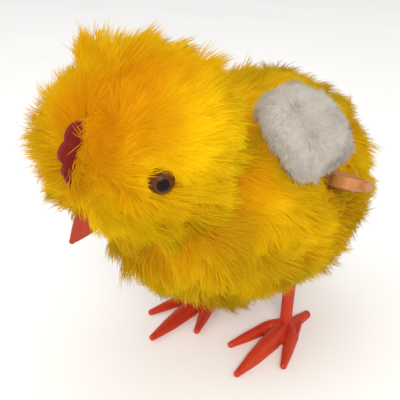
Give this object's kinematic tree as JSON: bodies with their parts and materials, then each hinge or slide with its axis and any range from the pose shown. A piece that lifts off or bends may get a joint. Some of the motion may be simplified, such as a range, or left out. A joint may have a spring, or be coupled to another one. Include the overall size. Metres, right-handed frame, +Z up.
{
  "type": "wind-up hopping chick toy",
  "caption": "Plush wind-up chick with a key at its left side, plastic body, clockwork inside and a pair of swinging legs.",
  "frame": {"origin": "on the table under the feet, at the middle of the whole toy's box", "axes": "+Z up, -Y is where the body points (forward), +X is the chick's left side, where the key is"},
  "size_m": [0.0764, 0.1152, 0.0972],
  "materials": {
    "peach_plastic": "satin moulded polystyrene",
    "yellow_plush": "long acrylic pile",
    "white_plush": "short dense acrylic pile",
    "wadding": "loose polyester fibre",
    "orange_plastic": "satin moulded plastic",
    "crimson_felt": "stiffened felt",
    "eye_plastic": "glossy",
    "clear_washer": "matte",
    "tinplate": "bright tin coating",
    "steel": "drawn steel",
    "spring_steel": "blued",
    "brass": "stamped"
  },
  "bodies": {
    "body": {"bottom_pan": "peach_plastic", "top_shell": "peach_plastic", "pan_screws": "steel", "fur_body": "yellow_plush", "fur_head": "yellow_plush", "head_stuffing": "wadding", "beak": "orange_plastic", "comb": "crimson_felt", "eye_left": "eye_plastic", "eye_right": "eye_plastic", "eye_washers": "clear_washer", "wing_left": "white_plush", "wing_right": "white_plush", "frame_plate_left": "tinplate", "frame_plate_right": "tinplate", "frame_pillars": "steel", "frame_screws": "steel", "spring_stud": "steel", "mainspring": "spring_steel", "return_spring": "spring_steel"},
    "winding": {"winding_key": "peach_plastic", "winding_arbor": "steel", "great_wheel": "brass", "ratchet_wheel": "steel", "click_pin": "steel"},
    "click": {"click": "steel"},
    "crank": {"crank_shaft": "steel", "crank_pinion": "brass", "drive_wheel": "brass", "hop_cam": "steel"},
    "governor": {"governor_shaft": "steel", "governor_pinion": "brass", "escape_wheel": "brass"},
    "pallet": {"pallet_arbor": "steel", "pallet_lever": "brass"},
    "legs": {"hip_shaft": "steel", "rocker_arm": "tinplate", "leg_left": "orange_plastic", "leg_right": "orange_plastic"}
  },
  "joints": [
    {"name": "winding_key_turn", "type": "hinge", "parent": "body", "child": "winding", "pos_m": [-0.0017, 0.00535, 0.057], "axis": [1, 0, 0], "continuous": true},
    {"name": "click_lift", "type": "hinge", "parent": "winding", "child": "click", "pos_m": [0.0035, -0.00083, 0.05866], "axis": [1, 0, 0], "range_deg": [-10, 0], "stiffness_Nm_per_rad": 0.0005},
    {"name": "crank_turn", "type": "hinge", "parent": "body", "child": "crank", "pos_m": [-0.0017, 0.01371, 0.04704], "axis": [1, 0, 0], "continuous": true},
    {"name": "governor_turn", "type": "hinge", "parent": "body", "child": "governor", "pos_m": [-0.0017, 0.02544, 0.04455], "axis": [1, 0, 0], "continuous": true},
    {"name": "pallet_rock", "type": "hinge", "parent": "body", "child": "pallet", "pos_m": [-0.0017, 0.03216, 0.04925], "axis": [1, 0, 0], "range_deg": [-6, 6]},
    {"name": "leg_swing", "type": "hinge", "parent": "body", "child": "legs", "pos_m": [-0.0017, 0.01635, 0.03], "axis": [1, 0, 0], "range_deg": [-8, 3]}
  ],
  "couplings": [
    {"joint": "crank_turn", "follows": "winding_key_turn", "ratio": -3.3333},
    {"joint": "governor_turn", "follows": "winding_key_turn", "ratio": 10}
  ]
}
